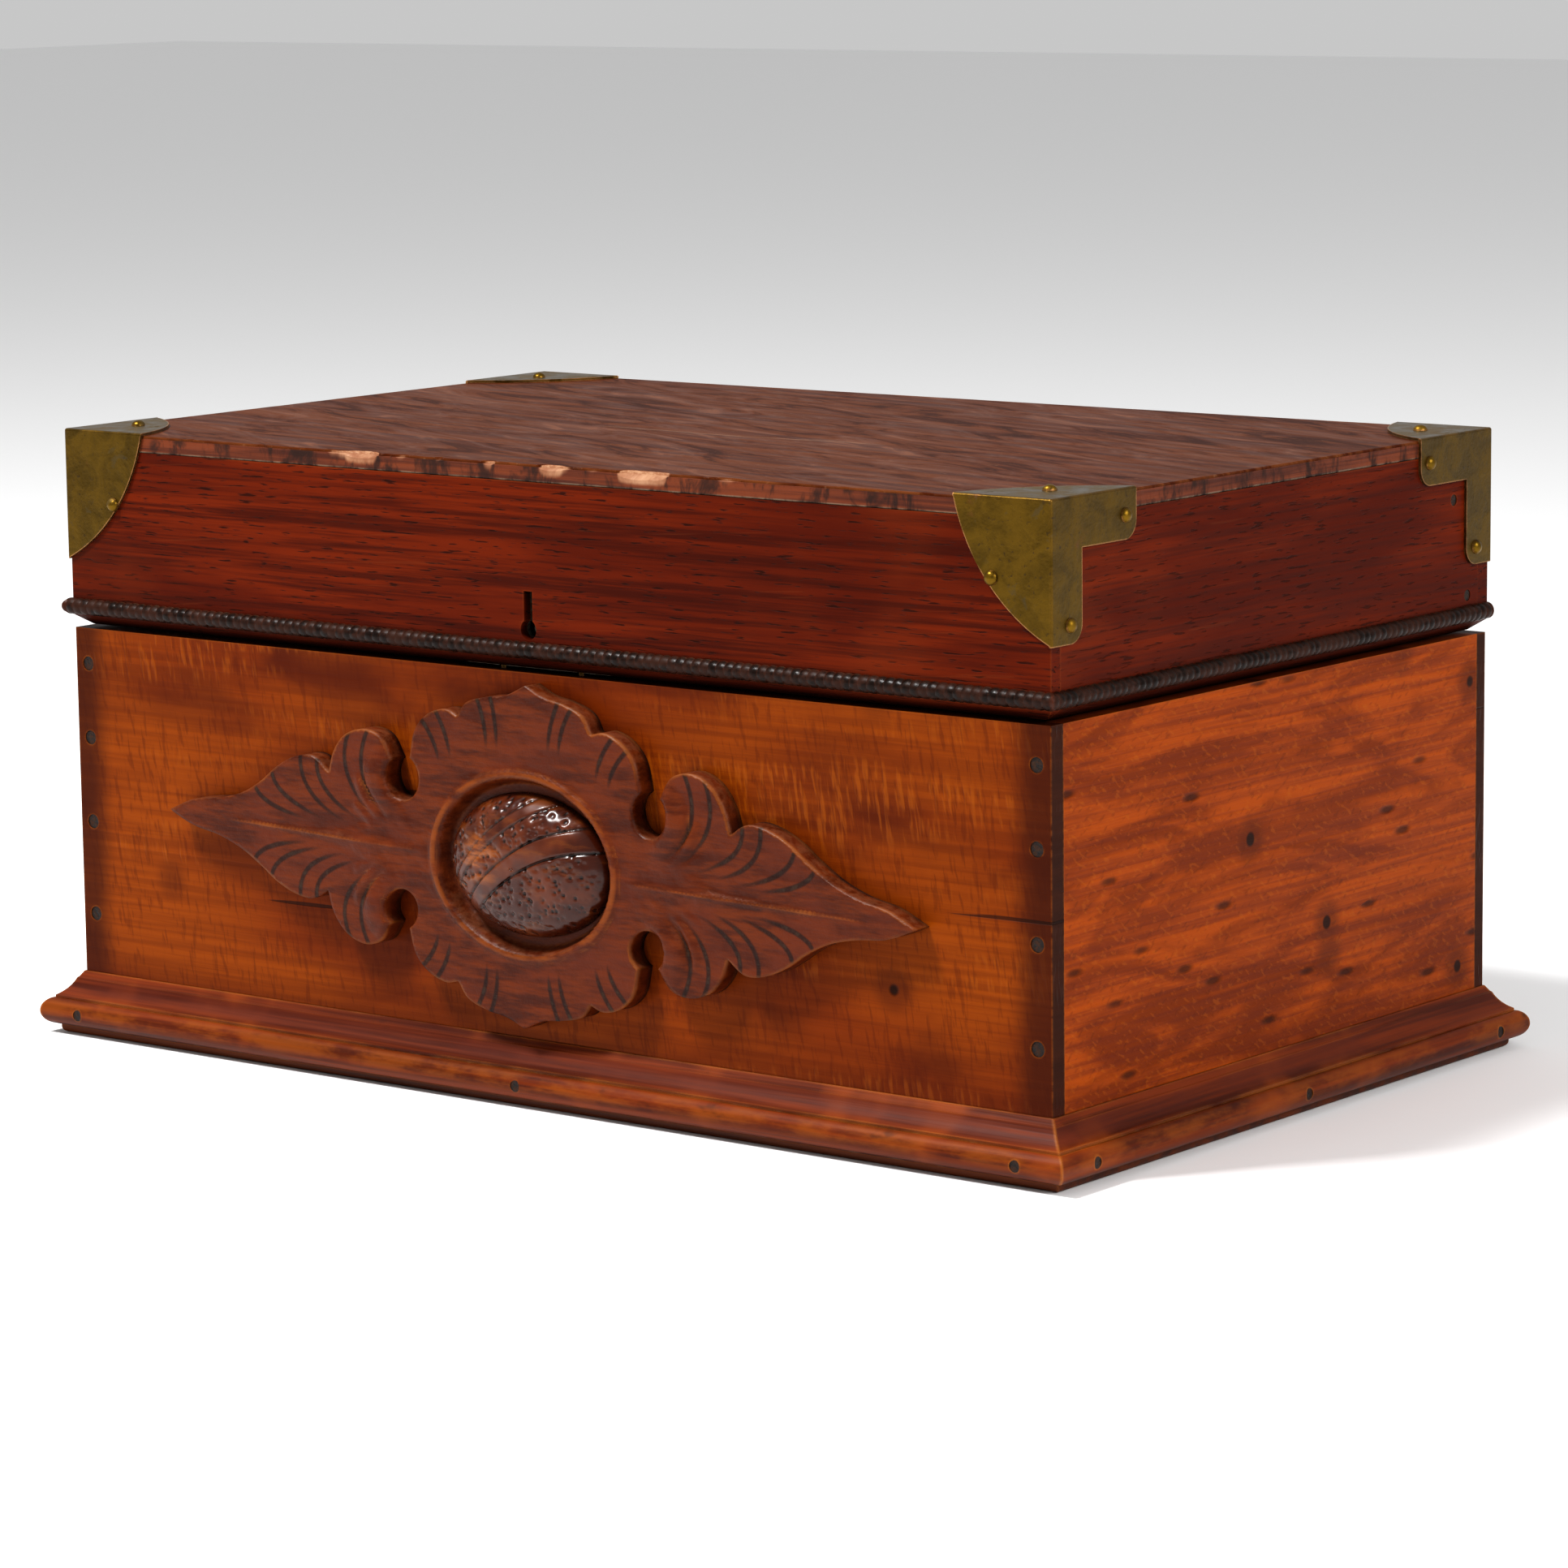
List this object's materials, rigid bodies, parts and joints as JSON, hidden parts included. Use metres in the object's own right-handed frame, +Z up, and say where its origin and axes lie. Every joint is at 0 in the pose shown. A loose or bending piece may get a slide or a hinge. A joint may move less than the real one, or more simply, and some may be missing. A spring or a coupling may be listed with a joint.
{
  "type": "jewelry box",
  "caption": "Rectangular wooden jewelry box with a hinged lid, carved leaf ornament, moulded base, brass lid corners, box lock and a lift-out tray.",
  "frame": {"origin": "centre of the walls' plan, on the underside of the base board", "axes": "+X to the right along the front, +Y from the front to the back, +Z up"},
  "size_m": [0.3172, 0.202, 0.1549],
  "materials": {
    "case_wood": "satin, worn polish",
    "lid_wood": "satin, worn polish",
    "lid_veneer": "dull, worn",
    "moulding_wood": "satin, worn",
    "bead_wood": "dark, satin",
    "ornament_wood": "dark polish",
    "inner_wood": "plain, waxed",
    "brass": "aged brass",
    "hinge_brass": "aged brass",
    "iron": "dark, rusty",
    "velvet": "deep pile"
  },
  "bodies": {
    "case": {"case_front_board": "case_wood", "case_back_board": "case_wood", "case_left_board": "case_wood", "case_right_board": "case_wood", "base_board": "moulding_wood", "base_moulding_front": "moulding_wood", "base_moulding_back": "moulding_wood", "base_moulding_left": "moulding_wood", "base_moulding_right": "moulding_wood", "case_nails": "iron", "moulding_nails": "iron", "carved_ornament": "ornament_wood", "carved_nut": "ornament_wood", "hinge_leaf_lower_left": "hinge_brass", "hinge_leaf_lower_right": "hinge_brass", "hinge_pins": "hinge_brass", "lower_hinge_screws": "hinge_brass", "link_plate": "hinge_brass", "link_plate_screws": "hinge_brass", "tray_ledger_left": "inner_wood", "tray_ledger_right": "inner_wood", "case_floor_pad": "velvet"},
    "lid": {"lid_front_board": "lid_wood", "lid_back_board": "lid_wood", "lid_left_board": "lid_wood", "lid_right_board": "lid_wood", "lid_top_board": "lid_wood", "lid_top_veneer": "lid_veneer", "bead_front": "bead_wood", "bead_left": "bead_wood", "bead_right": "bead_wood", "corner_brass_front_left": "brass", "corner_brass_front_right": "brass", "corner_brass_back_left": "brass", "corner_brass_back_right": "brass", "corner_pins": "brass", "lid_nails": "iron", "hinge_leaf_upper_left": "hinge_brass", "hinge_leaf_upper_right": "hinge_brass", "upper_hinge_screws": "hinge_brass", "lock_case": "hinge_brass", "lock_cap": "hinge_brass", "lock_key_post": "hinge_brass", "lock_screws": "hinge_brass", "lid_pad": "velvet"},
    "bolt": {"lock_bolt": "hinge_brass"},
    "tray": {"tray_front_board": "inner_wood", "tray_back_board": "inner_wood", "tray_left_board": "inner_wood", "tray_right_board": "inner_wood", "tray_bottom": "inner_wood", "tray_long_divider": "inner_wood", "tray_cross_dividers": "inner_wood", "tray_pads": "velvet", "tray_knobs": "hinge_brass"}
  },
  "joints": [
    {"name": "lid_hinge", "type": "hinge", "parent": "case", "child": "lid", "pos_m": [0, 0.0941, 0.10385], "axis": [-1, 0, 0], "range_deg": [0, 100]},
    {"name": "bolt_slide", "type": "slide", "parent": "lid", "child": "bolt", "axis": [1, 0, 0], "range_m": [0, 0.003]},
    {"name": "tray_lift", "type": "slide", "parent": "case", "child": "tray", "axis": [0, 0, 1], "range_m": [0, 0.036]}
  ]
}
